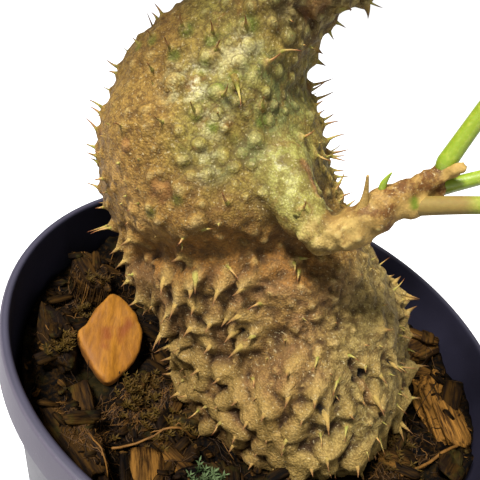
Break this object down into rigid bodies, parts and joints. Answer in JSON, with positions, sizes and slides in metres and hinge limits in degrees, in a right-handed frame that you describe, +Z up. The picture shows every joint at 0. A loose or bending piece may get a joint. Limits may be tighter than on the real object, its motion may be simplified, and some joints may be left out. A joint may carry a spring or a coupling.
{
  "type": "potted ant plant",
  "caption": "Ant plant with a swollen, spiny, curved stem base, a knobbly side shoot and fleshy leaves, in a round nursery pot of bark chips.",
  "frame": {"origin": "centre of the underside of the pot, on the surface it stands on", "axes": "+Z up along the pot's axis; -Y is the front, where the side shoot stands out to the right"},
  "size_m": [0.1929, 0.1878, 0.2816],
  "materials": {
    "pot_plastic": "matte blue-black moulded plastic, scuffed on the lip",
    "mix": "dark damp bark and fibre",
    "caudex_skin": "living corky skin, tan low down and olive above, with a soft damp sheen",
    "bark": "weathered pine bark",
    "pale_bark": "smooth fresh inner bark",
    "leaf": "thick waxy leaf, semi-gloss"
  },
  "bodies": {
    "root": {"pot": "pot_plastic", "potting_mix": "mix", "caudex": "caudex_skin", "chip_01": "bark", "chip_02": "bark", "chip_03": "bark", "chip_04": "bark", "chip_05": "bark", "chip_06": "bark", "chip_07": "bark", "chip_08": "bark", "chip_09": "bark", "chip_10": "bark", "chip_11": "bark", "chip_12": "bark", "chip_13": "bark", "chip_14": "bark", "chip_15": "bark", "chip_dark_left": "bark", "chip_large_right": "bark", "chip_pale": "pale_bark", "chip_red_front": "bark", "chip_ridge_left": "bark", "chip_small_right": "bark", "side_leaf_lower": "leaf", "side_leaf_middle": "leaf", "side_leaf_upper": "leaf", "top_leaf_1": "leaf", "top_leaf_2": "leaf", "top_leaf_3": "leaf", "top_leaf_4": "leaf", "top_leaf_5": "leaf", "top_leaf_6": "leaf"}
  },
  "joints": []
}
